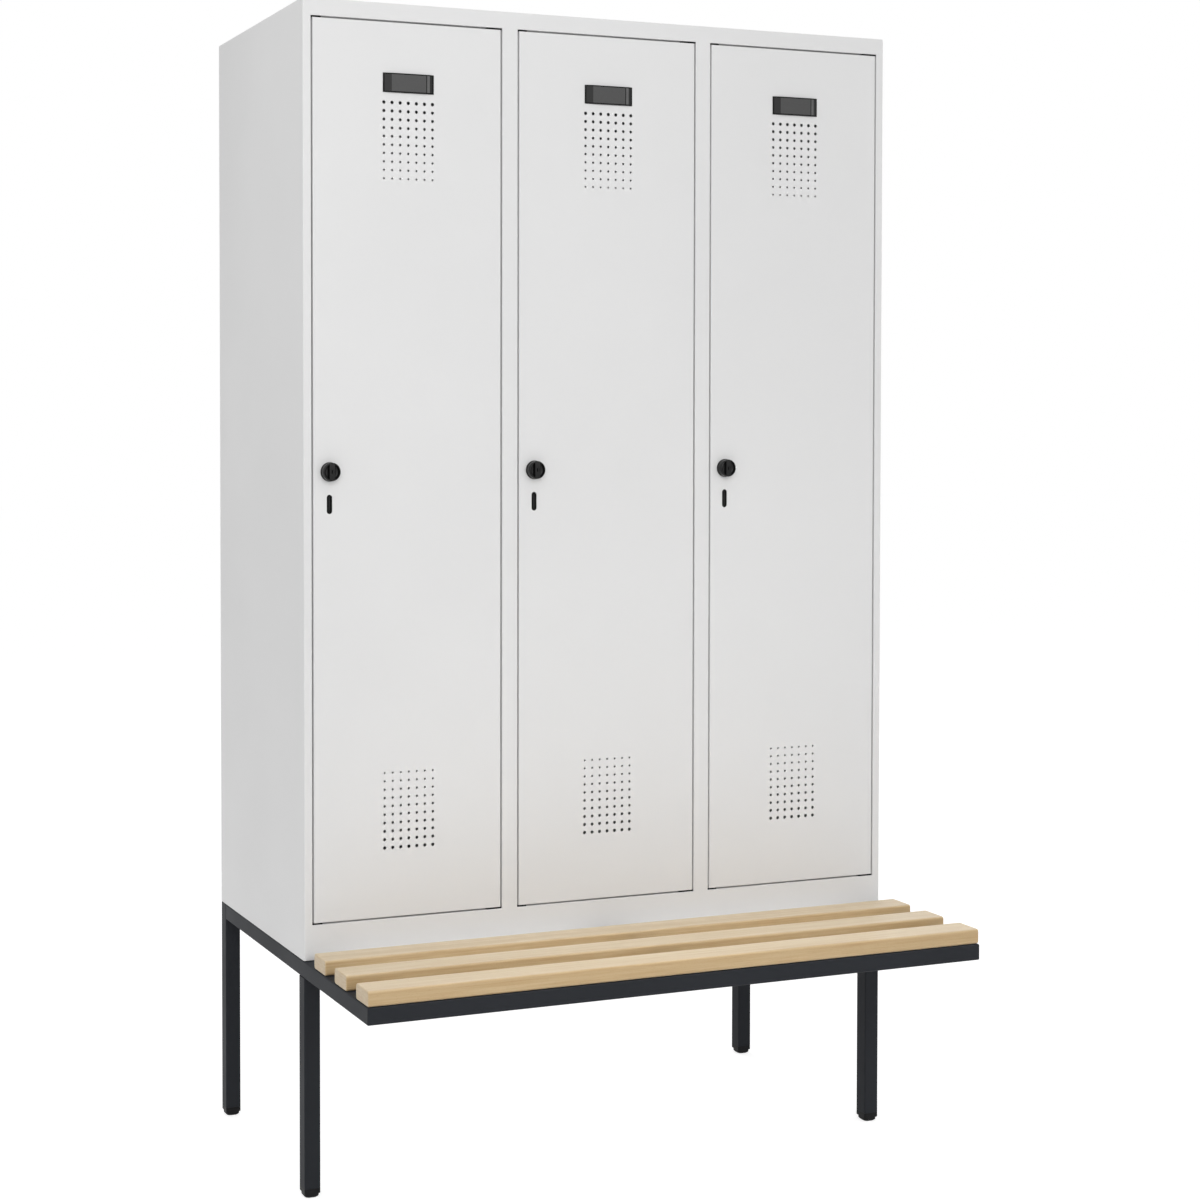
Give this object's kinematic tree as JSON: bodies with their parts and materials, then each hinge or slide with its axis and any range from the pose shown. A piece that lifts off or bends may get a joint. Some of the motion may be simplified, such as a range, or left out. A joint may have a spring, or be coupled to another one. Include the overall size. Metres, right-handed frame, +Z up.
{
  "type": "locker with bench",
  "caption": "Steel cloakroom locker with hinged perforated doors, turn latches, hat shelves and sliding coat hooks, on a tube frame with a slatted wooden bench in front.",
  "frame": {"origin": "on the floor, under the middle of the whole object's box", "axes": "+Z up, +X to the right seen from the front, -Y towards someone who faces the doors"},
  "size_m": [1.2, 0.81, 2.125],
  "materials": {
    "grey_enamel": "light grey powder coat, satin",
    "anthracite_enamel": "anthracite powder coat, satin",
    "beech": "clear satin lacquer",
    "black_plastic": "moulded, fine grain",
    "zinc": "zinc plated"
  },
  "bodies": {
    "root": {"front_frame": "grey_enamel", "side_panel_left": "grey_enamel", "side_panel_right": "grey_enamel", "back_panel": "grey_enamel", "top_panel": "grey_enamel", "floor_panel": "grey_enamel", "partition_1": "grey_enamel", "partition_2": "grey_enamel", "hat_shelf_1": "grey_enamel", "clothes_rail_1": "zinc", "pivot_pin_upper_1": "black_plastic", "pivot_pin_lower_1": "black_plastic", "hat_shelf_2": "grey_enamel", "clothes_rail_2": "zinc", "pivot_pin_upper_2": "black_plastic", "pivot_pin_lower_2": "black_plastic", "hat_shelf_3": "grey_enamel", "clothes_rail_3": "zinc", "pivot_pin_upper_3": "black_plastic", "pivot_pin_lower_3": "black_plastic", "side_rail_left": "anthracite_enamel", "side_rail_right": "anthracite_enamel", "front_rail": "anthracite_enamel", "cross_rail": "anthracite_enamel", "rear_rail": "anthracite_enamel", "bench_bearer": "anthracite_enamel", "leg_front_left": "anthracite_enamel", "leg_front_right": "anthracite_enamel", "leg_rear_left": "anthracite_enamel", "leg_rear_right": "anthracite_enamel", "foot_front_left": "black_plastic", "foot_front_right": "black_plastic", "foot_rear_left": "black_plastic", "foot_rear_right": "black_plastic", "bench_slat_1": "beech", "bench_slat_2": "beech", "bench_slat_3": "beech"},
    "door_1": {"door_panel_1": "grey_enamel", "door_stiffener_1": "grey_enamel", "label_holder_1": "black_plastic", "lock_case_1": "black_plastic"},
    "knob_1": {"turn_knob_1": "black_plastic", "latch_cam_1": "zinc"},
    "hook_1": {"coat_hook_1": "black_plastic"},
    "door_2": {"door_panel_2": "grey_enamel", "door_stiffener_2": "grey_enamel", "label_holder_2": "black_plastic", "lock_case_2": "black_plastic"},
    "knob_2": {"turn_knob_2": "black_plastic", "latch_cam_2": "zinc"},
    "hook_2": {"coat_hook_2": "black_plastic"},
    "door_3": {"door_panel_3": "grey_enamel", "door_stiffener_3": "grey_enamel", "label_holder_3": "black_plastic", "lock_case_3": "black_plastic"},
    "knob_3": {"turn_knob_3": "black_plastic", "latch_cam_3": "zinc"},
    "hook_3": {"coat_hook_3": "black_plastic"}
  },
  "joints": [
    {"name": "door_1_hinge", "type": "hinge", "parent": "root", "child": "door_1", "pos_m": [-0.2305, -0.087, 1.29175], "axis": [0, 0, 1], "range_deg": [0, 110]},
    {"name": "door_2_hinge", "type": "hinge", "parent": "root", "child": "door_2", "pos_m": [0.1695, -0.087, 1.29175], "axis": [0, 0, 1], "range_deg": [0, 110]},
    {"name": "door_3_hinge", "type": "hinge", "parent": "root", "child": "door_3", "pos_m": [0.5695, -0.087, 1.29175], "axis": [0, 0, 1], "range_deg": [0, 110]},
    {"name": "knob_1_turn", "type": "hinge", "parent": "door_1", "child": "knob_1", "pos_m": [-0.5512, -0.095, 1.293], "axis": [0, 1, 0], "range_deg": [0, 90]},
    {"name": "knob_2_turn", "type": "hinge", "parent": "door_2", "child": "knob_2", "pos_m": [-0.1512, -0.095, 1.293], "axis": [0, 1, 0], "range_deg": [0, 90]},
    {"name": "knob_3_turn", "type": "hinge", "parent": "door_3", "child": "knob_3", "pos_m": [0.2488, -0.095, 1.293], "axis": [0, 1, 0], "range_deg": [0, 90]},
    {"name": "hook_1_slide", "type": "slide", "parent": "root", "child": "hook_1", "axis": [1, 0, 0], "range_m": [-0.15, 0.15]},
    {"name": "hook_2_slide", "type": "slide", "parent": "root", "child": "hook_2", "axis": [1, 0, 0], "range_m": [-0.15, 0.15]},
    {"name": "hook_3_slide", "type": "slide", "parent": "root", "child": "hook_3", "axis": [1, 0, 0], "range_m": [-0.15, 0.15]}
  ]
}
